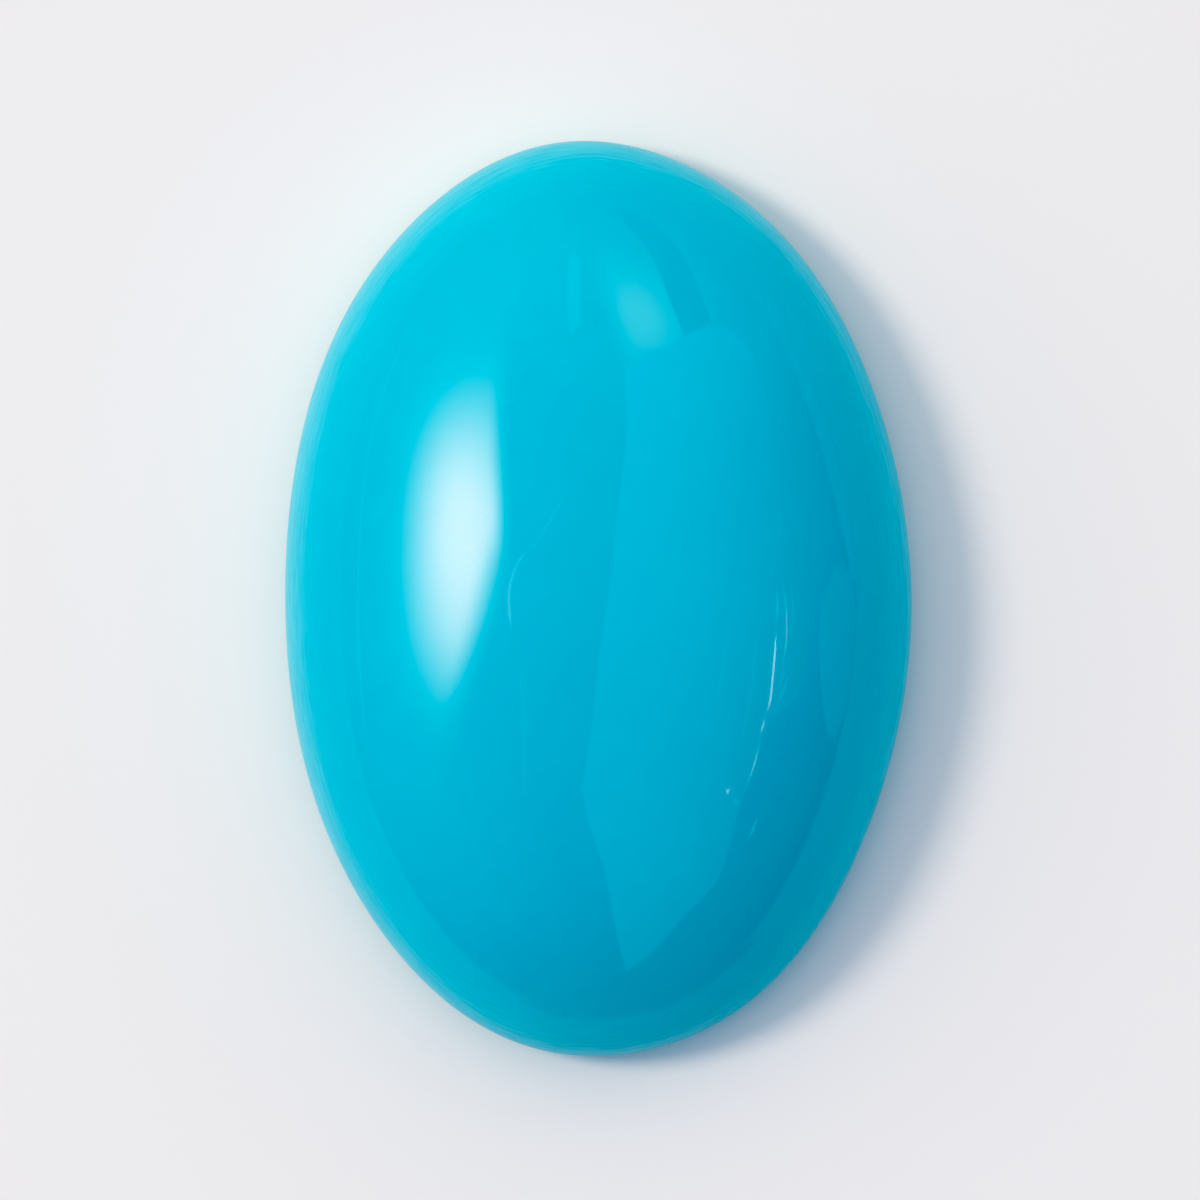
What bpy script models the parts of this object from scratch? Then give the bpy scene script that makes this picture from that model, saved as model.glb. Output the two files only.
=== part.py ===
"""An oval turquoise cabochon: one polished stone with a high dome, a rolled girdle and a bevelled flat back.

Units are metres. The stone lies on its flat back at z = 0, with its length along Y and its crown up.
"""

import math

import bmesh
import bpy

MM = 0.001

# Driving dimensions
LENGTH = 18.0 * MM
WIDTH = 12.32 * MM
DOME_HEIGHT = 4.3 * MM  # crown above the girdle, the widest line of the stone
GIRDLE_HEIGHT = 0.7 * MM  # girdle above the flat back
ROLL_RADIUS = 0.6 * MM  # the roll that turns in under the girdle
BEVEL_ANGLE = math.radians(45)  # slope of the bevel round the back, from upright

# The oval is cut by hand, so its outline swells a little from a true ellipse.
# Each swell is the number of bulges round the stone, their size as a share of the radius,
# and where one of them lies, counted from +X towards +Y.
SWELLS = (
    (3, 0.0045, math.radians(3)),
    (4, 0.0017, math.radians(39)),
    (5, 0.0016, math.radians(5)),
    (7, 0.0025, math.radians(-5)),
)

# Mesh density
SEGMENTS = 120
DOME_RINGS = 24
ROLL_STEPS = 5

STONE_COLOUR = (0.0, 0.43, 0.62, 1.0)
STONE_ROUGHNESS = 0.08
STONE_IOR = 1.61
SHARP_FROM = math.radians(30)


def clear_scene():
    for old in list(bpy.data.objects):
        bpy.data.objects.remove(old)


def collection_named(name):
    made = bpy.data.collections.new(name)
    bpy.context.scene.collection.children.link(made)
    return made


def polished_turquoise():
    material = bpy.data.materials.new("Polished turquoise")
    material.use_nodes = True
    shader = material.node_tree.nodes["Principled BSDF"]
    shader.inputs["Base Color"].default_value = STONE_COLOUR
    shader.inputs["Roughness"].default_value = STONE_ROUGHNESS
    shader.inputs["Metallic"].default_value = 0.0
    shader.inputs["IOR"].default_value = STONE_IOR
    return material


def add_dome(bm):
    """The upper half of an ellipsoid, open at the girdle."""
    bmesh.ops.create_uvsphere(bm, u_segments=SEGMENTS, v_segments=2 * DOME_RINGS, radius=0.5)
    bmesh.ops.bisect_plane(
        bm,
        geom=bm.verts[:] + bm.edges[:] + bm.faces[:],
        dist=1e-5,
        plane_co=(0, 0, 0),
        plane_no=(0, 0, 1),
        clear_inner=True,
    )
    bmesh.ops.scale(bm, verts=bm.verts, vec=(WIDTH, LENGTH, 2 * DOME_HEIGHT))


def swell_at(angle):
    return 1.0 + sum(size * math.cos(count * (angle - first)) for count, size, first in SWELLS)


def cut_by_hand(bm):
    """Swells the oval, then brings it back to its stated length and width, centred on the Z axis."""
    for vert in bm.verts:
        angle = math.atan2(vert.co.y / LENGTH, vert.co.x / WIDTH)
        vert.co.x *= swell_at(angle)
        vert.co.y *= swell_at(angle)
    for axis, size in ((0, WIDTH), (1, LENGTH)):
        low = min(vert.co[axis] for vert in bm.verts)
        high = max(vert.co[axis] for vert in bm.verts)
        for vert in bm.verts:
            vert.co[axis] = (vert.co[axis] - (low + high) / 2) * size / (high - low)


def underside_rings():
    """How far in from the girdle and down from it each ring under it lies: the roll, then the bevel."""
    turns = [BEVEL_ANGLE * step / ROLL_STEPS for step in range(1, ROLL_STEPS + 1)]
    rings = [(ROLL_RADIUS * (1 - math.cos(turn)), ROLL_RADIUS * math.sin(turn)) for turn in turns]
    roll_in, roll_down = rings[-1]
    bevel_in = (GIRDLE_HEIGHT - roll_down) * math.tan(BEVEL_ANGLE)
    rings.append((roll_in + bevel_in, GIRDLE_HEIGHT))
    return rings


def add_underside(bm):
    """Closes the girdle with one face, and insets and lowers that face ring by ring to make the flat back."""
    girdle = [edge for edge in bm.edges if edge.is_boundary]
    back = bmesh.ops.edgeloop_fill(bm, edges=girdle)["faces"]
    reached = 0.0
    for in_by, down_by in underside_rings():
        bmesh.ops.inset_region(bm, faces=back, thickness=in_by - reached, use_even_offset=True)
        for vert in back[0].verts:
            vert.co.z = -down_by
        reached = in_by
    bmesh.ops.poke(bm, faces=back)


def stone_mesh():
    bm = bmesh.new()
    add_dome(bm)
    cut_by_hand(bm)
    add_underside(bm)
    bmesh.ops.translate(bm, verts=bm.verts, vec=(0, 0, GIRDLE_HEIGHT))
    bmesh.ops.recalc_face_normals(bm, faces=bm.faces)
    mesh = bpy.data.meshes.new("cabochon")
    bm.to_mesh(mesh)
    bm.free()
    mesh.shade_smooth()
    mesh.set_sharp_from_angle(angle=SHARP_FROM)
    return mesh


def main():
    clear_scene()
    stone = bpy.data.objects.new("cabochon", stone_mesh())
    stone.data.materials.append(polished_turquoise())
    collection_named("Turquoise cabochon").objects.link(stone)


main()
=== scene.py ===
"""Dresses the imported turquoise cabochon: the polished stone, and the pale stage that it is shown on."""

import math
import random

import bmesh
import bpy
from bpy.props import FloatProperty, FloatVectorProperty, IntProperty, PointerProperty
from mathutils import Matrix, Vector, noise


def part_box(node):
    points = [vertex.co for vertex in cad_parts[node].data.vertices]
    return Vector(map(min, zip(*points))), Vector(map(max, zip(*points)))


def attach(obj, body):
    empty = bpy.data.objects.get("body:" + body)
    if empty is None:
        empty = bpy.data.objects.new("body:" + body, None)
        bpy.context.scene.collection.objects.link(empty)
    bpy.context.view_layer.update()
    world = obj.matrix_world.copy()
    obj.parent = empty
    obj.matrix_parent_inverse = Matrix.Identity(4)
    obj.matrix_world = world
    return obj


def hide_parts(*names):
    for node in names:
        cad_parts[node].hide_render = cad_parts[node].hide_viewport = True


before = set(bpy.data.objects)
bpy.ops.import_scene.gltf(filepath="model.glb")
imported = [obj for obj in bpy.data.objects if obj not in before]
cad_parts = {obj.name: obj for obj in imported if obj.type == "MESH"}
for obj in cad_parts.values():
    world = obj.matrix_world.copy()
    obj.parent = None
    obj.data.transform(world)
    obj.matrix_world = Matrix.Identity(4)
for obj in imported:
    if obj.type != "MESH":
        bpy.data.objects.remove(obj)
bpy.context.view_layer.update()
stone_low, stone_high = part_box("cabochon")

bl_info = {
    "name": "Turquoise cabochon",
    "version": (1, 0, 0),
    "blender": (4, 5, 0),
    "location": "3D View > Sidebar > Cabochon",
    "description": "Makes a polished oval turquoise cabochon and a pale stage for it",
    "category": "Object",
}

MM = 0.001
PER_METRE = 1000.0  # turns metres into millimetres, in which the finish is measured

# The oval is cut by hand, so its outline swells a little from a true ellipse.
# Each swell is the number of bulges round the stone, their size as a share of the radius,
# and where one of them lies, counted from +X towards +Y.
SWELLS = (
    (3, 0.0045, math.radians(3)),
    (4, 0.0017, math.radians(39)),
    (5, 0.0016, math.radians(5)),
    (7, 0.0025, math.radians(-5)),
)
BEVEL_ANGLE = math.radians(45)

# Rings of faces from the girdle down, besides those of the dome
ROLL_RINGS = 12
BEVEL_RINGS = 6
EDGE_RINGS = 4
BACK_RINGS = 38

CARD_CUTS = 5  # divides each side of a card's triangles

# Wear of the lapped back, as numbers of hollows and the least and most that each can be
PITS = 34
PIT_REACH = (0.22 * MM, 0.55 * MM)
PIT_DEPTH = (0.01 * MM, 0.05 * MM)
CHIPS = 9
CHIP_REACH = (0.15 * MM, 0.4 * MM)
CHIP_DEPTH = (0.02 * MM, 0.06 * MM)
EDGE_SHARE = 0.65  # how far in from the girdle the back's edge lies, against the girdle's height

PHOTO_SIDE = 1200  # pixels, the frame that the camera's aim is given in
AIM = (1.6, 1.7)  # pixels right and down, from the stone's middle to the picture's


class StoneShape(bpy.types.PropertyGroup):
    length: FloatProperty(
        name="Length",
        description="Along the oval",
        default=stone_high.y - stone_low.y,
        unit="LENGTH",
    )
    width: FloatProperty(
        name="Width",
        description="Across the oval",
        default=stone_high.x - stone_low.x,
        unit="LENGTH",
    )
    height: FloatProperty(
        name="Height",
        description="From the flat back to the crown of the dome",
        default=stone_high.z - stone_low.z,
        unit="LENGTH",
    )
    girdle: FloatProperty(
        name="Girdle height",
        description="From the flat back to the widest line of the stone",
        default=0.7 * MM,
        unit="LENGTH",
    )
    roll: FloatProperty(
        name="Roll",
        description="Radius of the roll that turns in under the girdle",
        default=0.6 * MM,
        unit="LENGTH",
    )
    edge: FloatProperty(
        name="Back edge",
        description="Radius that softens the edge between the bevel and the flat back",
        default=0.05 * MM,
        unit="LENGTH",
    )
    wave: FloatProperty(
        name="Hand waves",
        description="Height of the slow waves that polishing by hand leaves in the dome",
        default=0.0025 * MM,
        unit="LENGTH",
    )
    segments: IntProperty(
        name="Segments",
        description="Faces round the stone",
        default=400,
        min=48,
    )
    dome_rings: IntProperty(
        name="Dome rings",
        description="Faces from the girdle to the crown",
        default=110,
        min=12,
    )


class StoneFinish(bpy.types.PropertyGroup):
    colour: FloatVectorProperty(
        name="Body colour",
        description="The stone's sky blue",
        default=(0.0, 0.441, 0.665),
        subtype="COLOR",
        min=0.0,
        max=1.0,
    )
    pale: FloatVectorProperty(
        name="Pale clouds",
        description="The slightly paler blue that clouds the body",
        default=(0.004, 0.481, 0.704),
        subtype="COLOR",
        min=0.0,
        max=1.0,
    )
    # Partly the paler blue of a rubbed rim and partly painted light: blended in low on the dome, this colour
    # makes the whole rim brighter and paler all round.
    rubbed_and_painted_light: FloatVectorProperty(
        name="Rubbed rim",
        description="The paler blue of the rim, which the polishing wheel reaches least",
        default=(0.12, 0.64, 0.8),
        subtype="COLOR",
        min=0.0,
        max=1.0,
    )
    fleck: FloatVectorProperty(
        name="Flecks",
        description="The few faint specks of white clay in the stone",
        default=(0.25, 0.64, 0.76),
        subtype="COLOR",
        min=0.0,
        max=1.0,
    )
    deep: FloatVectorProperty(
        name="Deep specks",
        description="The few specks of deeper blue in the stone",
        default=(0.0, 0.3, 0.56),
        subtype="COLOR",
        min=0.0,
        max=1.0,
    )
    back: FloatVectorProperty(
        name="Back",
        description="The duller blue of the bevel and back, which are ground and not polished",
        default=(0.06, 0.43, 0.57),
        subtype="COLOR",
        min=0.0,
        max=1.0,
    )
    chalk: FloatVectorProperty(
        name="Chalky patches",
        description="The paler, chalkier blue that patches the back",
        default=(0.2, 0.54, 0.63),
        subtype="COLOR",
        min=0.0,
        max=1.0,
    )
    polish: FloatProperty(
        name="Polish",
        description="Roughness of the polished dome",
        default=0.05,
        min=0.0,
        max=1.0,
        subtype="FACTOR",
    )
    haze: FloatProperty(
        name="Haze",
        description="Roughness that the polish gains down to the girdle",
        default=0.2,
        min=0.0,
        max=1.0,
        subtype="FACTOR",
    )
    rim_gloss: FloatProperty(
        name="Rim gloss",
        description="How strongly the rubbed rim still mirrors. The polished dome has 0.5",
        default=0.12,
        min=0.0,
        max=1.0,
        subtype="FACTOR",
    )
    rim_roughness: FloatProperty(
        name="Rim roughness",
        description="Roughness of the rubbed rim",
        default=0.3,
        min=0.0,
        max=1.0,
        subtype="FACTOR",
    )
    lapped: FloatProperty(
        name="Lapped back",
        description="Roughness of the back, as the lap leaves it",
        default=0.58,
        min=0.0,
        max=1.0,
        subtype="FACTOR",
    )
    relief: FloatProperty(
        name="Relief",
        description="Depth of the scratches on the back",
        default=0.012 * MM,
        unit="LENGTH",
    )
    ior: FloatProperty(
        name="Refractive index",
        description="1.61 to 1.65 in turquoise",
        default=1.61,
        min=1.0,
        max=2.5,
    )


class Studio(bpy.types.PropertyGroup):
    floor: FloatProperty(
        name="Floor",
        description="How much of the light the pale floor gives back",
        default=0.9,
        min=0.0,
        max=1.0,
        subtype="FACTOR",
    )
    room: FloatProperty(
        name="Room",
        description="Brightness that the room has all round",
        default=0.165,
        min=0.0,
    )
    room_colour: FloatVectorProperty(
        name="Room colour",
        description="Tint of the room's dim light",
        default=(0.82, 1.0, 1.436),
        subtype="COLOR",
        min=0.0,
        soft_max=2.0,
    )
    soft: FloatProperty(
        name="Soft light",
        description="Brightness that the large overhead light adds at its middle",
        default=0.973,
        min=0.0,
    )
    soft_colour: FloatVectorProperty(
        name="Soft light colour",
        description="Tint of the large overhead light",
        default=(1.1, 1.0, 0.69),
        subtype="COLOR",
        min=0.0,
        soft_max=2.0,
    )
    sky: FloatProperty(
        name="Sky",
        description="Brightness of the blue light from straight above",
        default=0.24,
        min=0.0,
    )
    sides: FloatProperty(
        name="Sides",
        description="How much brighter the room is at the stone's sides, and dimmer at its ends",
        default=0.212,
        min=0.0,
    )
    sides_colour: FloatVectorProperty(
        name="Sides colour",
        description="Tint of the light from the sides",
        default=(0.9, 1.0, 1.184),
        subtype="COLOR",
        min=0.0,
        soft_max=2.0,
    )
    key: FloatProperty(
        name="Key lamp",
        description="Light of the key lamp on a sheet that faces it, against a white sheet in full light",
        default=0.371,
        min=0.0,
    )
    key_colour: FloatVectorProperty(
        name="Key lamp colour",
        description="Tint of the key lamp",
        default=(1.054, 1.0, 0.822),
        subtype="COLOR",
        min=0.0,
        soft_max=2.0,
    )
    backdrop: FloatProperty(
        name="Backdrop",
        description="Brightness of the plain backdrop behind the floor",
        default=0.82,
        min=0.0,
    )
    camera_shade: FloatProperty(
        name="Camera shade",
        description="Brightness that the camera takes from the overhead light, as the dome mirrors it",
        default=0.25,
        min=0.0,
    )
    key_glow: FloatProperty(
        name="Key glow",
        description="Brightness of the key lamp's hot middle, as the dome mirrors it",
        default=7.3,
        min=0.0,
    )
    top_glow: FloatProperty(
        name="Top glow",
        description="Brightness of the second lamp's middle, as the dome mirrors it",
        default=2.3,
        min=0.0,
    )
    key_tint: FloatVectorProperty(
        name="Key tint",
        description="Colour of the key lamp's mirror image",
        default=(1.36, 1.0, 0.7),
        subtype="COLOR",
        min=0.0,
        soft_max=2.0,
    )
    top_tint: FloatVectorProperty(
        name="Top tint",
        description="Colour of the second lamp's mirror image",
        default=(0.55, 1.0, 0.68),
        subtype="COLOR",
        min=0.0,
        soft_max=2.0,
    )
    panel: FloatProperty(
        name="Panel",
        description="Brightness that the dim panel adds at its left edge",
        default=1.0,
        min=0.0,
    )
    red_floor: FloatProperty(
        name="Red floor",
        description="Red light that the picture leaves out, so that the dome shows none",
        default=0.1,
        min=0.0,
        max=0.2,
    )
    view_width: FloatProperty(
        name="View width",
        description="Width of the picture at the girdle",
        default=23.6 * MM,
        unit="LENGTH",
    )
    camera_height: FloatProperty(
        name="Camera height",
        description="From the floor to the camera",
        default=0.5,
        unit="LENGTH",
    )
    turn: FloatProperty(
        name="Turn",
        description="How far the stone looks turned to the left in the picture",
        default=math.radians(0.95),
        subtype="ANGLE",
    )


class Wire:
    """A shader socket that takes part in sums: an expression on wires adds the Math nodes that it needs."""

    def __init__(self, shader, socket):
        self.shader = shader
        self.socket = socket

    def __add__(self, other):
        return self.shader.maths("ADD", self, other)

    def __sub__(self, other):
        return self.shader.maths("SUBTRACT", self, other)

    def __mul__(self, other):
        return self.shader.maths("MULTIPLY", self, other)

    def __truediv__(self, other):
        return self.shader.maths("DIVIDE", self, other)

    def __pow__(self, other):
        return self.shader.maths("POWER", self, other)

    def __rsub__(self, other):
        return self.shader.maths("SUBTRACT", other, self)

    def __abs__(self):
        return self.shader.maths("ABSOLUTE", self)

    __radd__ = __add__
    __rmul__ = __mul__


class Shader:
    """Adds nodes to one node tree."""

    def __init__(self, tree):
        self.tree = tree
        tree.nodes.clear()

    def node(self, kind, settings=None, inputs=None, output=0):
        """Adds a node, sets it up, feeds its sockets, and gives back the wire from one of its outputs."""
        made = self.tree.nodes.new(kind)
        for name, value in (settings or {}).items():
            setattr(made, name, value)
        for name, value in (inputs or {}).items():
            if isinstance(value, Wire):
                self.tree.links.new(value.socket, made.inputs[name])
            else:
                made.inputs[name].default_value = value
        return Wire(self, made.outputs[output]) if made.outputs else made

    def maths(self, operation, *values):
        return self.node("ShaderNodeMath", {"operation": operation}, dict(enumerate(values)))

    def clamped(self, value):
        return self.node("ShaderNodeClamp", inputs={"Value": value})

    def smooth_step(self, value, low, high):
        """0 below low, 1 above high, and a soft slope between them."""
        settings = {"interpolation_type": "SMOOTHSTEP"}
        return self.node("ShaderNodeMapRange", settings, {"Value": value, "From Min": low, "From Max": high})

    def mixed(self, share, first, second):
        """Two colours, blended."""
        sockets = {"Factor": share, 6: first, 7: second}
        return self.node("ShaderNodeMix", {"data_type": "RGBA"}, sockets, output=2)

    def surface(self, inputs):
        return self.node("ShaderNodeBsdfPrincipled", inputs=inputs)

    def mixed_surfaces(self, share, first, second):
        return self.node("ShaderNodeMixShader", inputs={0: share, 1: first, 2: second})

    def vector_maths(self, operation, *values):
        """One step with vectors or colours. A distance and a dot product come out as numbers."""
        output = 1 if operation in ("DISTANCE", "DOT_PRODUCT") else 0
        return self.node("ShaderNodeVectorMath", {"operation": operation}, dict(enumerate(values)), output)

    def scaled(self, vector, by):
        return self.node("ShaderNodeVectorMath", {"operation": "SCALE"}, {0: vector, "Scale": by})

    def noise(self, vector, scale, detail=2.0, roughness=0.5):
        sockets = {"Vector": vector, "Scale": scale, "Detail": detail, "Roughness": roughness}
        return self.node("ShaderNodeTexNoise", inputs=sockets)

    def stretched(self, vector, turn, scale):
        """A pattern space that is turned about the stone's upright axis and then squeezed by scale."""
        turned = {"Vector": vector, "Rotation": (0.0, 0.0, turn)}
        vector = self.node("ShaderNodeMapping", {"vector_type": "POINT"}, turned)
        return self.node("ShaderNodeVectorMath", {"operation": "MULTIPLY"}, {0: vector, 1: scale})


def new_material(name):
    material = bpy.data.materials.new(name)
    material.use_nodes = True
    return material, Shader(material.node_tree)


def new_object(name, mesh, material):
    made = bpy.data.objects.new(name, mesh)
    made.data.materials.append(material)
    bpy.context.scene.collection.objects.link(made)
    return made


def new_mesh(name, bm):
    mesh = bpy.data.meshes.new(name)
    bm.to_mesh(mesh)
    bm.free()
    return mesh


# The stone's shape


def angle_round(vert, shape):
    """Where a point lies round the oval, as the angle of the circle that the oval was stretched from."""
    return math.atan2(vert.co.y / shape.length, vert.co.x / shape.width)


def swell_at(angle):
    return 1.0 + sum(size * math.cos(count * (angle - first)) for count, size, first in SWELLS)


def add_dome(bm, shape):
    """The upper half of an ellipsoid, open at the girdle."""
    bmesh.ops.create_uvsphere(bm, u_segments=shape.segments, v_segments=2 * shape.dome_rings, radius=0.5)
    bmesh.ops.bisect_plane(
        bm,
        geom=bm.verts[:] + bm.edges[:] + bm.faces[:],
        dist=1e-5,
        plane_co=(0, 0, 0),
        plane_no=(0, 0, 1),
        clear_inner=True,
    )
    dome_height = shape.height - shape.girdle
    bmesh.ops.scale(bm, verts=bm.verts, vec=(shape.width, shape.length, 2 * dome_height))


def cut_by_hand(bm, shape):
    """Swells the oval, then brings it back to its stated length and width, centred on the Z axis."""
    for vert in bm.verts:
        swell = swell_at(angle_round(vert, shape))
        vert.co.x *= swell
        vert.co.y *= swell
    for axis, size in ((0, shape.width), (1, shape.length)):
        low = min(vert.co[axis] for vert in bm.verts)
        high = max(vert.co[axis] for vert in bm.verts)
        for vert in bm.verts:
            vert.co[axis] = (vert.co[axis] - (low + high) / 2) * size / (high - low)


def underside_rings(shape):
    """How far in and down from the girdle each ring lies: the roll, the bevel and its softened edge."""
    rings = []
    for step in range(1, ROLL_RINGS + 1):
        turn = BEVEL_ANGLE * step / ROLL_RINGS
        rings.append((shape.roll * (1 - math.cos(turn)), shape.roll * math.sin(turn)))
    roll_in, roll_down = rings[-1]
    bevel_down = shape.girdle - roll_down
    edge_in = roll_in + bevel_down * math.tan(BEVEL_ANGLE)
    softened = shape.edge * math.tan((math.pi / 2 - BEVEL_ANGLE) / 2)
    straight = 1 - softened / (bevel_down / math.cos(BEVEL_ANGLE))
    for step in range(1, BEVEL_RINGS + 1):
        share = straight * step / BEVEL_RINGS
        rings.append((roll_in + (edge_in - roll_in) * share, roll_down + bevel_down * share))
    for step in range(1, EDGE_RINGS + 1):
        turn = BEVEL_ANGLE + (math.pi / 2 - BEVEL_ANGLE) * step / EDGE_RINGS
        in_by = edge_in + softened - shape.edge * math.cos(turn)
        rings.append((in_by, shape.girdle - shape.edge * (1 - math.sin(turn))))
    return rings


def add_underside(bm, shape):
    """Closes the girdle with one face, then insets and lowers that face ring by ring."""
    girdle = [edge for edge in bm.edges if edge.is_boundary]
    back = bmesh.ops.edgeloop_fill(bm, edges=girdle)["faces"]
    reached = 0.0
    for in_by, down_by in underside_rings(shape):
        bmesh.ops.inset_region(bm, faces=back, thickness=in_by - reached, use_even_offset=True)
        for vert in back[0].verts:
            vert.co.z = -down_by
        reached = in_by
    return back


def add_back_rings(bm, back):
    """Divides the flat back into rings, so that it can carry marks of its own."""
    for ring in range(BACK_RINGS, 1, -1):
        bmesh.ops.inset_region(bm, faces=back, thickness=0.01 * MM)
        inner = set(back[0].verts)
        for vert in inner:
            outer = next(other for edge in vert.link_edges if (other := edge.other_vert(vert)) not in inner)
            vert.co.x = outer.co.x * (ring - 1) / ring
            vert.co.y = outer.co.y * (ring - 1) / ring
    bmesh.ops.poke(bm, faces=back)


def stone_bmesh(shape):
    bm = bmesh.new()
    add_dome(bm, shape)
    cut_by_hand(bm, shape)
    back = add_underside(bm, shape)
    add_back_rings(bm, back)
    bmesh.ops.translate(bm, verts=bm.verts, vec=(0, 0, shape.girdle))
    bmesh.ops.recalc_face_normals(bm, faces=bm.faces)
    return bm


def wave_the_polish(bm, shape):
    """Gives the dome the slow, slight waves of hand polishing, which fade out towards the bevel."""
    bm.normal_update()
    slow, quick = 0.22, 0.8  # waves to a millimetre
    moves = []
    for vert in bm.verts:
        place = vert.co * PER_METRE
        lift = noise.noise(place * slow) + 0.12 * noise.noise(place * quick)
        fade = min(1.0, vert.co.z / shape.girdle)
        moves.append(vert.normal * lift * shape.wave * fade)
    for vert, move in zip(bm.verts, moves):
        vert.co += move


def dip(distance, reach):
    """A smooth round hollow: 1 in its middle and 0 from reach on."""
    share = distance / reach
    return (1 - share * share) ** 2 if share < 1 else 0.0


def wear_the_back(bm, shape):
    """Presses shallow pits into the lapped back, and knocks small chips out of its edge."""
    rng = random.Random(7)
    half_width, half_length = shape.width / 2, shape.length / 2
    hollows = []
    for _ in range(PITS):
        angle, share = rng.uniform(0, 2 * math.pi), math.sqrt(rng.uniform(0, 0.86))
        place = Vector((half_width * share * math.cos(angle), half_length * share * math.sin(angle), 0))
        hollows.append((place, rng.uniform(*PIT_REACH), rng.uniform(*PIT_DEPTH)))
    for _ in range(CHIPS):
        angle = rng.uniform(0, 2 * math.pi)
        edge_in = shape.girdle * EDGE_SHARE
        right = (half_width - edge_in) * math.cos(angle)
        up = (half_length - edge_in) * math.sin(angle)
        place = Vector((right, up, 0))
        hollows.append((place, rng.uniform(*CHIP_REACH), rng.uniform(*CHIP_DEPTH)))
    low = [vert for vert in bm.verts if vert.co.z < shape.girdle * 0.7]
    for place, reach, depth in hollows:
        for vert in low:
            vert.co.z += depth * dip((vert.co - place).length, reach)


class CABOCHON_OT_stone(bpy.types.Operator):
    """Make the polished stone"""

    bl_idname = "cabochon.make_stone"
    bl_label = "Make the stone"

    def execute(self, context):
        scene = context.scene
        bm = stone_bmesh(scene.cabochon_shape)
        wave_the_polish(bm, scene.cabochon_shape)
        wear_the_back(bm, scene.cabochon_shape)
        mesh = new_mesh("polished_stone", bm)
        mesh.shade_smooth()
        finish = polished_turquoise(scene.cabochon_finish, scene.cabochon_shape)
        stone = new_object("polished_stone", mesh, finish)
        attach(stone, "root")
        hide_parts("cabochon")
        return {"FINISHED"}


# The stone's finish


def hairlines(shader, place, turn, fineness):
    """Sparse fine lines in one direction, as rubbing leaves them. Each fades in and out along its length."""
    across = shader.noise(shader.stretched(place, turn, (0.25, fineness, 0.25)), 1.0, detail=1.0)
    along = shader.noise(shader.stretched(place, turn, (0.5, 1.5, 0.5)), 1.0, detail=1.0)
    return shader.smooth_step(across, 0.66, 0.72) * shader.smooth_step(along, 0.5, 0.62)


def lap_marks(shader, place):
    """The close, nearly straight scratches that a flat lap leaves."""
    coarse = shader.noise(shader.stretched(place, math.radians(28), (0.3, 9.0, 0.3)), 1.0, detail=3.0)
    fine = shader.noise(shader.stretched(place, math.radians(34), (0.5, 26.0, 0.5)), 1.0, detail=2.0)
    return coarse * 0.6 + fine * 0.4


def flecks(shader, place, scale, least):
    """Sparse specks: round blots where a noise peaks."""
    return shader.smooth_step(shader.noise(place, scale, detail=1.5), least, least + 0.05)


# The same heights bound the painted light of the paler rim.
HAZE_HEIGHTS = (1.3, 3.6)  # millimetres up the stone: full haze below the first, none above the second
BRUSH_MARKS = (1.4, 1.4, 15.0)  # brush marks to a millimetre: few along the rim and many up it
# Which way the hairlines run, and how fine they are
HAIRLINES = ((math.radians(80), 22.0), (math.radians(112), 30.0))
EDGE_OF_POLISH = (-0.05, 0.03)  # millimetres from the foot of the roll


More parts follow.
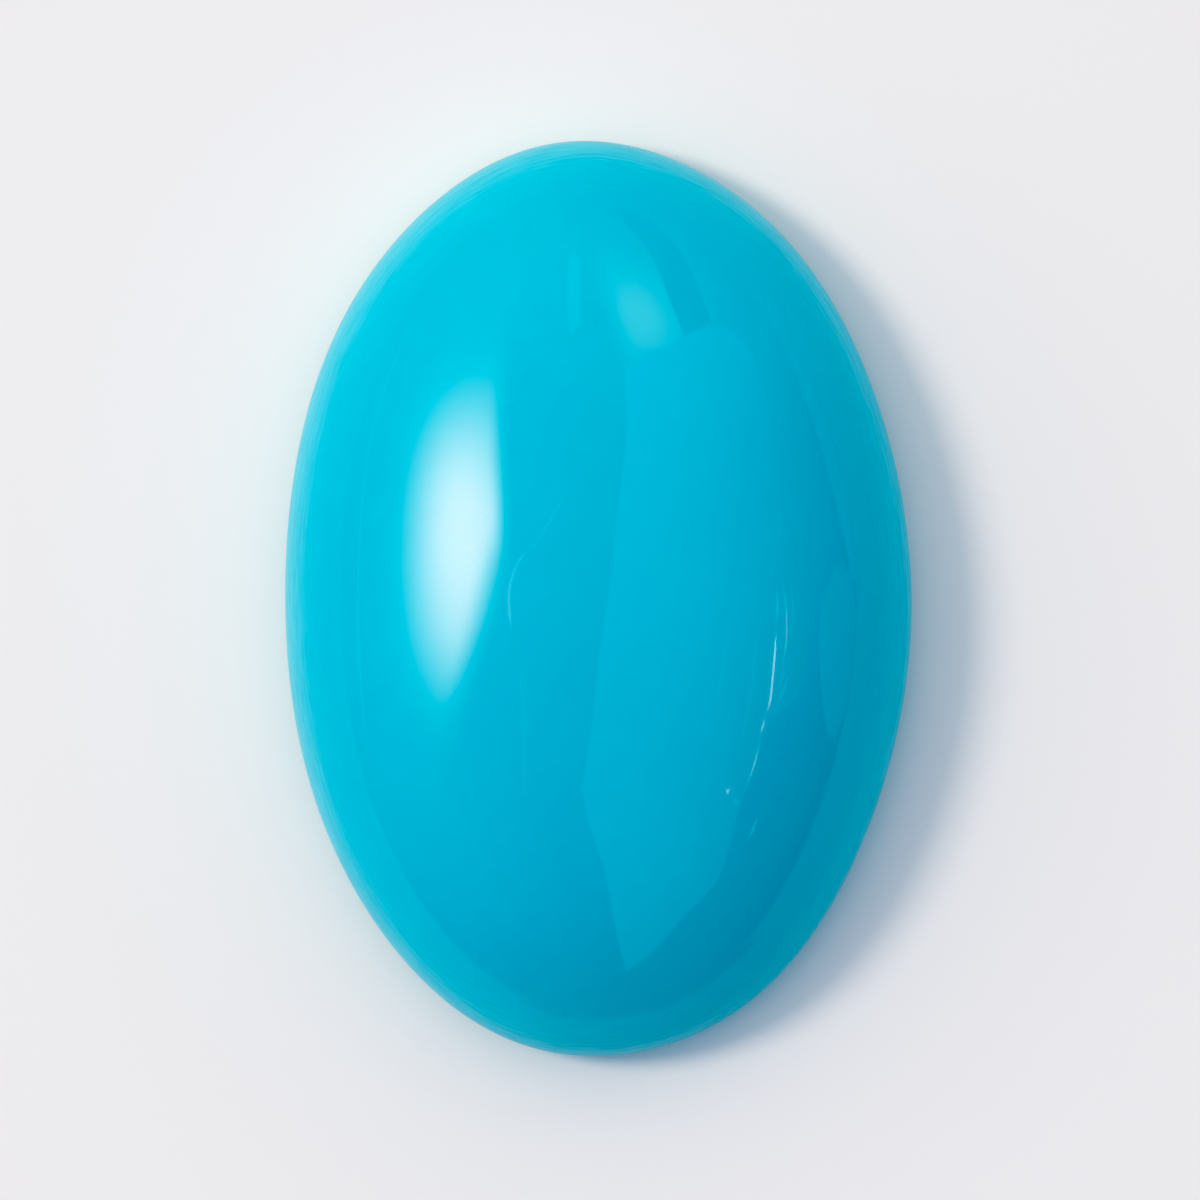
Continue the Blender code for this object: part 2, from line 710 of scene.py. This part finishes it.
def polished_turquoise(finish, shape):
    material, shader = new_material("Polished turquoise")
    coordinates = shader.node("ShaderNodeTexCoord", output="Object")
    place = shader.scaled(coordinates, PER_METRE)
    height = shader.node("ShaderNodeSeparateXYZ", inputs={0: place}, output="Z")
    roll_foot = (shape.girdle - shape.roll * math.sin(BEVEL_ANGLE)) * PER_METRE
    ragged = height + (shader.noise(place, 1.4, detail=3.0) - 0.5) * 0.08
    polished = shader.smooth_step(ragged, roll_foot + EDGE_OF_POLISH[0], roll_foot + EDGE_OF_POLISH[1])

    clouds = shader.noise(place, 0.24, detail=3.0)
    mottle = shader.noise(place, 1.9, detail=4.0, roughness=0.6)
    grain = shader.noise(place, 15.0, detail=3.0, roughness=0.7)
    # haze is 1 low on the stone and 0 high up: it roughens the polish, and it also spreads the painted light
    # of the paler rim.
    haze = 1 - shader.smooth_step(height, *HAZE_HEIGHTS)
    brushed = shader.noise(shader.stretched(place, 0.0, BRUSH_MARKS), 1.0, detail=3.0) - 0.5
    # Where the rim's surface, whose colour carries painted light, takes over from the polished dome
    rubbed_and_painted_light = shader.clamped(haze * (0.94 + brushed * 0.6))
    cloudy = (clouds - 0.5) * 1.5 + (mottle - 0.5) * 0.7 + (grain - 0.5) * 0.35 + 0.42
    cloudy = shader.clamped(cloudy + brushed * 0.4)
    body = shader.mixed(cloudy, (*finish.colour, 1.0), (*finish.pale, 1.0))
    speck = flecks(shader, place, 2.6, 0.735) * 0.05
    body = shader.mixed(speck, body, (*finish.fleck, 1.0))
    deep = flecks(shader, shader.stretched(place, 0.7, (1.0, 1.0, 1.0)), 3.7, 0.75) * 0.15
    body = shader.mixed(deep, body, (*finish.deep, 1.0))
    # Painted light: the paler rim colour, blended in towards the girdle, brightens the lower dome all round.
    rim = shader.mixed(shader.clamped(haze * (0.75 + brushed * 0.8)), body, (*finish.rubbed_and_painted_light, 1.0))

    marks = lap_marks(shader, place)
    chalk = shader.smooth_step(shader.noise(place, 0.55, detail=4.0, roughness=0.6), 0.42, 0.68)
    ground = shader.mixed(chalk, (*finish.back, 1.0), (*finish.chalk, 1.0))
    ground = shader.mixed(shader.smooth_step(marks, 0.5, 0.7) * 0.3, ground, (*finish.chalk, 1.0))

    first, second = (hairlines(shader, place, turn, fineness) for turn, fineness in HAIRLINES)
    lines = first + second
    smooth = finish.polish + shader.clamped(lines) * 0.03 + (mottle - 0.5) * 0.02
    smooth = smooth + haze * (finish.haze + brushed * 0.3)
    rough = finish.lapped + (marks - 0.5) * 0.25
    relief = {"Height": marks + chalk * 0.4, "Distance": finish.relief}
    scratched = shader.node("ShaderNodeBump", inputs=relief)

    dome = shader.surface({"Base Color": body, "Roughness": smooth, "IOR": finish.ior})
    # The rubbed rim: less gloss, and a base colour with painted light in it
    edge = shader.surface({
        "Base Color": rim,
        "Roughness": finish.rim_roughness,
        "Specular IOR Level": finish.rim_gloss,
    })
    back = shader.surface({
        "Base Color": ground,
        "Roughness": rough,
        "IOR": finish.ior,
        "Normal": scratched,
    })
    surface = shader.mixed_surfaces(polished, back, shader.mixed_surfaces(rubbed_and_painted_light, dome, edge))
    shader.node("ShaderNodeOutputMaterial", inputs={"Surface": surface})
    return material


# The stage


def direction(right, up):
    """A direction that the dome mirrors, in degrees from overhead to the right and up the picture."""
    tilt = math.radians(math.hypot(right, up))
    compass = math.atan2(up, right)
    return Vector((math.sin(tilt) * math.cos(compass), math.sin(tilt) * math.sin(compass), math.cos(tilt)))


SOFT_LIGHT = direction(-20.8, 40.9)  # the middle of the large overhead light
SIDES = direction(82.7, 35.6)  # level with the floor, along the way that the room is brighter
ENDS = direction(-35.6, 82.7)
KEY_LAMP = direction(-38.5, 8.9)
KEY_RADIUS = math.radians(7)
LAMP_DISTANCE = 0.8

KEY_GLOW = direction(-37, 7.5)
KEY_GLOW_SPREAD = math.radians(18.3)
KEY_GLOW_FLATNESS = 2.47
KEY_HALO = 0.06  # the faint light round the glow, as a share of the glow
KEY_HALO_SPREAD = math.radians(30)
KEY_WARMTH = 1.7  # the red of the key glow draws in towards its middle by this power
TOP_GLOW = direction(15.3, 42.6)
TOP_GLOW_SPREAD = math.radians(11.8)
CAMERA_SHADE = direction(-4.8, 0)
CAMERA_SHADE_SPREAD = math.radians(34)

# Edges where a glow ends: a great circle through two directions, and how soft the edge is
KEY_EDGES = (
    (direction(-24, 7.2), direction(-26.4, 27), math.radians(3.7)),
    (direction(-24, 7.2), direction(-36.2, -8.7), math.radians(5.2)),
)
TOP_EDGES = (
    (direction(8.5, 38), direction(1, 57), math.radians(4.5)),
)

# Cards that the polished dome mirrors. A point of an outline is degrees from overhead,
# to the right and up the picture. Nearer cards stand in front of farther ones.
PANEL = (
    (9.7, 31.6), (8.8, 19.8), (5.3, 9.9), (3.7, 1.9), (1.3, -5), (-0.7, -15), (-3.3, -25), (-2.4, -29),
    (2.2, -37.7),
    (4.6, -45.6), (7.5, -57.4), (11.1, -68.5), (23.7, -57), (28.6, -51), (34.4, -48.4), (40.3, -43),
    (43.4, -32.7), (47, -23.7), (50.9, -17.6), (58, -15.2), (64.2, -12.5), (63, 3), (55.5, 10), (54.4, 19),
    (55.2, 27), (53, 38), (48, 43.4), (37.5, 43.9), (27.6, 39.8), (24, 38), (19, 35.8), (15, 35.4),
)
DARK_BAND = (
    (2.5, 84), (6.6, 77.4), (10.6, 74.5), (15.6, 69.6), (18.6, 65.3), (21.6, 60.9), (23.7, 54),
    (25.4, 46.3), (27.6, 39.8), (37.4, 43.9), (36.6, 49), (34.9, 57), (32.8, 63.6), (28.8, 69.4),
    (23.3, 76.2), (17.3, 82), (10.4, 86),
)
GLEAM = (
    (76.3, 5.9), (82, 7), (87.4, 5), (89.7, 0), (89.6, -6), (89, -12), (87, -20), (84, -24),
    (79, -23.5), (75.6, -20), (72.2, -15.4), (69.5, -9), (69.5, -2),
)
LOW_STRIP = (
    (89.6, 4), (87.2, 5.2), (83.2, 12.3), (79.5, 20.1), (77, 26.4), (73.8, 33.3), (70.2, 42.4),
    (63.9, 50.5), (55.9, 58.6), (47.3, 67.5), (38, 77), (37, 81.5), (48, 75.6), (60, 66.5), (70, 56),
    (78, 44), (84, 31), (88, 18),
)

# How far each card stands from the stone, so that the nearer ones cover the farther ones
PANEL_DISTANCE = 0.82
BAND_DISTANCE = 0.80
GLEAM_DISTANCE = 0.79
SLIVER_DISTANCE = 0.78

# Light that the cards give
PANEL_TINT = (1.0, 1.0, 1.2)
PANEL_LIGHT = 1.33  # straight above the stone
PANEL_FALL = 1.21  # how much of it is lost towards the sides
PANEL_RISE = 0.55  # how much comes to it up the picture
SHADE_TINT = (1.0, 1.0, 1.15)
DARK_LIGHT = (0.74, 0.42)  # the dark band's light down at the floor, and how much of it is lost higher up
DARK_HEIGHTS = (0.14, 0.3)  # where the dark band's light starts and stops to fade, as shares of its distance
GLEAM_LIGHT = (0.62, 0.62, 0.75, 1.0)
LOW_STRIP_LIGHT = (0.8, 0.8, 0.92, 1.0)

# The floor lies in dimmer light beyond these distances, out of the picture at the lower right
DIM_FLOOR = (25 * MM, 34 * MM)
DIM_FLOOR_SIDES = (math.radians(-108), math.radians(-50))
DIM_FLOOR_END = 0.69
DIM_FLOOR_STEPS = 20
DIM_FLOOR_LIGHT = (0.78, 0.76)  # its light at the near edge, and how much of it is lost beyond

FLOOR_RADIUS = 0.7
FLOOR_SIDES = 96
FLOOR_DROP = 0.02 * MM  # keeps the floor from cutting into the flat back

# Slivers of light along the edges of lamps: where each runs, how wide it is in degrees, and how bright
SLIVERS = (
    (((51.4, 3), (51.5, -1), (51.4, -4)), 0.5, 3.2),
    (((51.2, -4.2), (50.9, -8), (50.6, -11), (50.2, -15), (49.6, -16.6)), 0.55, 8.0),
    (((49.1, -16.9), (48.7, -18), (48.3, -19.3)), 0.7, 6.0),
    (((52.2, -17), (55, -13.5), (57.6, -10.8)), 0.6, 2.6),
    (((51.6, -14.6), (54.2, -11.8), (56.6, -9)), 0.6, 2.3),
    (((56.8, 4), (57.4, -2), (57, -8)), 0.6, 1.5),
    (((48.6, -19.8), (47.6, -22.7), (45.8, -27)), 0.8, 4.2),
    (((53.9, 3), (54.8, -2), (54.9, -6.5), (53.8, -11)), 0.8, 2.8),
    (((38.8, -26.1), (39.5, -27.1)), 0.8, 5.5),
    (((40.8, -27.5), (42.5, -28.4), (44.4, -29.4)), 0.8, 3.4),
    (((49.4, -36.6), (50.8, -34.6), (52.2, -31.6)), 0.8, 3.0),
    (((34.7, -2), (33.9, -9), (31.9, -17)), 1.0, 1.25),
    (((44.5, -3), (43, -12), (41.2, -22.8)), 1.4, 1.1),
    (((50.9, -17.8), (57, -15.8), (64.4, -13.4)), 0.8, 1.4),
    (
        ((-18.4, 5.4), (-20.2, 4.4), (-22.1, 3), (-23.4, 1.3), (-23.8, -0.4), (-23.4, -2.2), (-22.7, -3.8)),
        0.9,
        2.5,
    ),
    (((-8, 12.7), (-10, 11.1), (-12.3, 9.2), (-14.8, 7), (-17.8, 5.5)), 0.6, 1.7),
    (((-19.7, -6), (-20.1, -16), (-20.8, -30)), 1.4, 0.9),
    (((-78.9, -30), (-80, -10), (-79.5, 6), (-76.9, 26), (-68.8, 43.7), (-57.6, 57.5)), 1.0, 1.35),
    (((-5.8, 37.6), (-7.1, 40.5), (-7.4, 46), (-7.4, 52), (-7, 55.8), (-5.8, 58)), 4.4, 1.6),
)


def on_the_stage(made):
    return made


def distance_from(shader, towards, centre):
    """How far a direction is from another, in radians as long as the two are near."""
    return shader.vector_maths("DISTANCE", towards, centre)


def lean_towards(shader, towards, centre):
    return shader.vector_maths("DOT_PRODUCT", towards, centre)


def bell(shader, towards, centre, spread, flatness=2.0):
    """1 at the centre, and fading away all round like a bell. Flatness widens its top."""
    off = distance_from(shader, towards, centre) / spread
    return shader.maths("POWER", math.e, 0 - off ** flatness)


def cut_off(shader, towards, glow, centre, edges):
    """A glow round a centre, ended at its edges."""
    for first, second, softness in edges:
        across = first.cross(second).normalized()
        across *= math.copysign(1.0, across.dot(centre))
        glow = glow * shader.smooth_step(lean_towards(shader, towards, across), -softness, softness)
    return glow


def room_light(shader, towards, studio):
    """The room's colour in a direction: dim all round, with one large soft light overhead to the upper left,
    blue light from straight above, and more light from the sides than from the ends."""
    soft = shader.scaled((*studio.soft_colour,), lean_towards(shader, towards, SOFT_LIGHT) * studio.soft)
    sky = shader.scaled((0.0, 0.0, 1.0), lean_towards(shader, towards, (0.0, 0.0, 1.0)) * studio.sky)
    side, end = lean_towards(shader, towards, SIDES), lean_towards(shader, towards, ENDS)
    sides = shader.scaled((*studio.sides_colour,), (side * side - end * end) * studio.sides)
    light = tuple(share * studio.room for share in studio.room_colour)
    for more in (soft, sky, sides):
        light = shader.vector_maths("ADD", light, more)
    return shader.vector_maths("MAXIMUM", light, (0.0, 0.0, 0.0))


def mirrored_glows(shader, towards, studio):
    """What the polished dome mirrors besides the room: two lamps, less what the camera hides overhead."""
    key = bell(shader, towards, KEY_GLOW, KEY_GLOW_SPREAD, KEY_GLOW_FLATNESS)
    key = key + bell(shader, towards, KEY_GLOW, KEY_HALO_SPREAD) * KEY_HALO
    key = cut_off(shader, towards, key, KEY_GLOW, KEY_EDGES)
    red, green, blue = studio.key_tint
    warm = {"X": key ** KEY_WARMTH * red, "Y": key * green, "Z": key * blue}
    key = shader.scaled(shader.node("ShaderNodeCombineXYZ", inputs=warm), studio.key_glow)
    top = bell(shader, towards, TOP_GLOW, TOP_GLOW_SPREAD)
    top = cut_off(shader, towards, top, TOP_GLOW, TOP_EDGES)
    top = shader.scaled((*studio.top_tint,), top * studio.top_glow)
    shade = bell(shader, towards, CAMERA_SHADE, CAMERA_SHADE_SPREAD) * studio.camera_shade
    lamps = shader.vector_maths("ADD", key, top)
    return shader.vector_maths("SUBTRACT", lamps, shader.scaled((1.0, 1.0, 1.0), shade))


def light_the_room(scene, studio):
    """The room's own light, what the dome mirrors of it, and a plain pale backdrop to the camera."""
    world = bpy.data.worlds.new("Studio")
    world.use_nodes = True
    scene.world = world
    shader = Shader(world.node_tree)
    towards = shader.stretched(shader.node("ShaderNodeTexCoord"), studio.turn, (1.0, 1.0, 1.0))
    to_camera = shader.node("ShaderNodeLightPath")
    to_mirror = shader.node("ShaderNodeLightPath", output="Is Glossy Ray")
    glows = shader.scaled(mirrored_glows(shader, towards, studio), to_mirror)
    light = shader.vector_maths("ADD", room_light(shader, towards, studio), glows)
    pale = (studio.backdrop, studio.backdrop, studio.backdrop, 1.0)
    light = shader.mixed(to_camera, shader.vector_maths("MAXIMUM", light, (0.0, 0.0, 0.0)), pale)
    background = shader.node("ShaderNodeBackground", inputs={"Color": light})
    shader.node("ShaderNodeOutputWorld", inputs={"Surface": background})


def card_mesh(name, outline, distance):
    """A curved sheet that stands at one distance all over, cut to an outline of directions."""
    bm = bmesh.new()
    sheet = bm.faces.new([bm.verts.new(direction(right, up)) for right, up in outline])
    bmesh.ops.triangulate(bm, faces=[sheet])
    bmesh.ops.subdivide_edges(bm, edges=bm.edges, cuts=CARD_CUTS, use_grid_fill=True)
    for vert in bm.verts:
        vert.co = vert.co.normalized() * distance
    return new_mesh(name, bm)


def add_card(name, outline, distance, studio, light_towards):
    """A sheet that only the polished dome sees. light_towards gives its colour in a direction."""
    material, shader = new_material(name)
    coordinates = shader.node("ShaderNodeTexCoord", output="Object")
    towards = shader.vector_maths("NORMALIZE", coordinates)
    light = shader.node("ShaderNodeEmission", inputs={"Color": light_towards(shader, towards)})
    shader.node("ShaderNodeOutputMaterial", inputs={"Surface": light})
    only_mirrored(on_the_stage(new_object(name, card_mesh(name, outline, distance), material)), studio)


def only_mirrored(card, studio):
    """Turns a card to the picture, and hides it from all but the polished dome."""
    card.rotation_euler.z = -studio.turn
    card.visible_camera = False
    card.visible_diffuse = False
    card.visible_shadow = False
    card.visible_transmission = False


def add_dim_floor(studio):
    """A flat sheet that only the dome mirrors, on the far floor: bright at its near edge, and dim beyond."""
    material, shader = new_material("stage_dim_floor")
    coordinates = shader.node("ShaderNodeTexCoord", output="Object")
    away = shader.vector_maths("DISTANCE", coordinates, (0.0, 0.0, 0.0))
    near_light, loss = DIM_FLOOR_LIGHT
    level = near_light - shader.smooth_step(away, *DIM_FLOOR) * loss
    light = shader.node("ShaderNodeEmission", inputs={"Color": shader.scaled(SHADE_TINT, level)})
    shader.node("ShaderNodeOutputMaterial", inputs={"Surface": light})
    first, last = DIM_FLOOR_SIDES
    sides = [first + (last - first) * step / DIM_FLOOR_STEPS for step in range(DIM_FLOOR_STEPS + 1)]
    corners = [(DIM_FLOOR[0], side) for side in sides]
    corners += [(DIM_FLOOR_END, side) for side in reversed(sides)]
    bm = bmesh.new()
    ring = [bm.verts.new((reach * math.cos(side), reach * math.sin(side), 0.0)) for reach, side in corners]
    bmesh.ops.triangulate(bm, faces=[bm.faces.new(ring)])
    sheet = new_object("stage_dim_floor", new_mesh("stage_dim_floor", bm), material)
    only_mirrored(on_the_stage(sheet), studio)


def sliver(course, width):
    """The outline of a thin mark that follows a course and comes to a point at both ends."""
    last = len(course) - 1
    back = []
    for step, (right, up) in enumerate(course):
        if 0 < step < last:
            back.append((right + width, up))
    if back:
        return (*course, *reversed(back))
    start, end = course
    return (start, end, (end[0] + width, start[1]))


def add_cards(studio):
    def panel(shader, towards):
        """Brightest at its upper left and dimmer to the right and down."""
        right = shader.node("ShaderNodeSeparateXYZ", inputs={0: towards})
        up = shader.node("ShaderNodeSeparateXYZ", inputs={0: towards}, output="Y")
        light = (PANEL_LIGHT - right * right * PANEL_FALL + up * PANEL_RISE) * studio.panel
        return shader.scaled(PANEL_TINT, shader.maths("MAXIMUM", light, 0.0))

    def dark(shader, towards):
        """Darkest well above the floor, and lost in the room's light down at the floor."""
        height = shader.node("ShaderNodeSeparateXYZ", inputs={0: towards}, output="Z")
        low_light, loss = DARK_LIGHT
        return shader.scaled(SHADE_TINT, low_light - shader.smooth_step(height, *DARK_HEIGHTS) * loss)

    def gleam(shader, towards):
        return GLEAM_LIGHT

    def low_strip(shader, towards):
        return LOW_STRIP_LIGHT

    add_card("stage_panel", PANEL, PANEL_DISTANCE, studio, panel)
    add_card("stage_dark_band", DARK_BAND, BAND_DISTANCE, studio, dark)
    add_card("stage_gleam", GLEAM, GLEAM_DISTANCE, studio, gleam)
    add_card("stage_low_strip", LOW_STRIP, BAND_DISTANCE, studio, low_strip)
    for number, (course, width, level) in enumerate(SLIVERS, 1):
        def bright(shader, towards, level=level):
            return (level, level, level, 1.0)

        outline = sliver(course, width)
        add_card(f"stage_sliver_{number}", outline, SLIVER_DISTANCE, studio, bright)
    add_dim_floor(studio)


def add_key_lamp(scene, studio):
    """A round soft lamp that lights the stone and casts its shadow. Its mirror image is a glow of its own in
    the room's light.
    """
    lamp = bpy.data.lights.new("key_lamp", "AREA")
    lamp.shape = "DISK"
    lamp.size = 2 * LAMP_DISTANCE * math.tan(KEY_RADIUS)
    lamp.energy = studio.key * (math.pi * LAMP_DISTANCE) ** 2
    lamp.color = studio.key_colour
    made = bpy.data.objects.new("key_lamp", lamp)
    towards = Matrix.Rotation(-studio.turn, 3, "Z") @ KEY_LAMP
    made.location = towards * LAMP_DISTANCE
    made.rotation_euler = towards.to_track_quat("Z", "Y").to_euler()
    made.visible_glossy = False
    made.visible_camera = False
    scene.collection.objects.link(made)


def add_floor(studio):
    material, shader = new_material("Pale floor")
    level = studio.floor
    surface = shader.node("ShaderNodeBsdfDiffuse", inputs={"Color": (level, level, level, 1.0)})
    shader.node("ShaderNodeOutputMaterial", inputs={"Surface": surface})
    bm = bmesh.new()
    bmesh.ops.create_circle(bm, cap_ends=True, segments=FLOOR_SIDES, radius=FLOOR_RADIUS)
    bmesh.ops.translate(bm, verts=bm.verts, vec=(0, 0, -FLOOR_DROP))
    return on_the_stage(new_object("stage_floor", new_mesh("stage_floor", bm), material))


def develop_picture(scene, studio):
    """Plain colours with the least red taken off, because the polished dome shows no red at all."""
    scene.view_settings.view_transform = "Standard"
    scene.view_settings.use_curve_mapping = True
    scene.view_settings.curve_mapping.black_level = (studio.red_floor, 0.0, 0.0)
    scene.view_settings.curve_mapping.update()


def add_camera(scene, studio, girdle):
    """Looks straight down on the stone, rolled so that the stone looks turned as in the picture."""
    camera = bpy.data.cameras.new("camera")
    camera.sensor_width = 36.0
    camera.lens = camera.sensor_width * (studio.camera_height - girdle) / studio.view_width
    camera.clip_start = 0.01
    camera.clip_end = 10.0
    made = bpy.data.objects.new("camera", camera)
    pixel = studio.view_width / PHOTO_SIDE
    aim_right, aim_down = (step * pixel for step in AIM)
    aim = Matrix.Rotation(-studio.turn, 3, "Z") @ Vector((aim_right, -aim_down, studio.camera_height))
    made.location = aim
    made.rotation_euler = (0.0, 0.0, -studio.turn)
    scene.collection.objects.link(made)
    scene.camera = made


class CABOCHON_OT_stage(bpy.types.Operator):
    """Make the floor, the lights and the camera"""

    bl_idname = "cabochon.make_stage"
    bl_label = "Make the stage"

    def execute(self, context):
        scene = context.scene
        studio = scene.cabochon_studio
        develop_picture(scene, studio)
        light_the_room(scene, studio)
        add_key_lamp(scene, studio)
        add_cards(studio)
        add_floor(studio)
        add_camera(scene, studio, scene.cabochon_shape.girdle)
        return {"FINISHED"}


class CABOCHON_PT_panel(bpy.types.Panel):
    """Lists what can be made and the values that it is made from"""

    bl_label = "Turquoise cabochon"
    bl_space_type = "VIEW_3D"
    bl_region_type = "UI"
    bl_category = "Cabochon"

    def draw(self, context):
        scene = context.scene
        for group in (scene.cabochon_shape, scene.cabochon_finish, scene.cabochon_studio):
            box = self.layout.box()
            for name in group.__annotations__:
                box.prop(group, name)
        self.layout.operator(CABOCHON_OT_stone.bl_idname)
        self.layout.operator(CABOCHON_OT_stage.bl_idname)


CLASSES = (StoneShape, StoneFinish, Studio, CABOCHON_OT_stone, CABOCHON_OT_stage, CABOCHON_PT_panel)


def register():
    for made in CLASSES:
        bpy.utils.register_class(made)
    bpy.types.Scene.cabochon_shape = PointerProperty(type=StoneShape)
    bpy.types.Scene.cabochon_finish = PointerProperty(type=StoneFinish)
    bpy.types.Scene.cabochon_studio = PointerProperty(type=Studio)


def unregister():
    del bpy.types.Scene.cabochon_studio
    del bpy.types.Scene.cabochon_finish
    del bpy.types.Scene.cabochon_shape
    for made in reversed(CLASSES):
        bpy.utils.unregister_class(made)


def main():
    register()
    bpy.ops.cabochon.make_stone()
    bpy.ops.cabochon.make_stage()


if __name__ == "__main__":
    main()
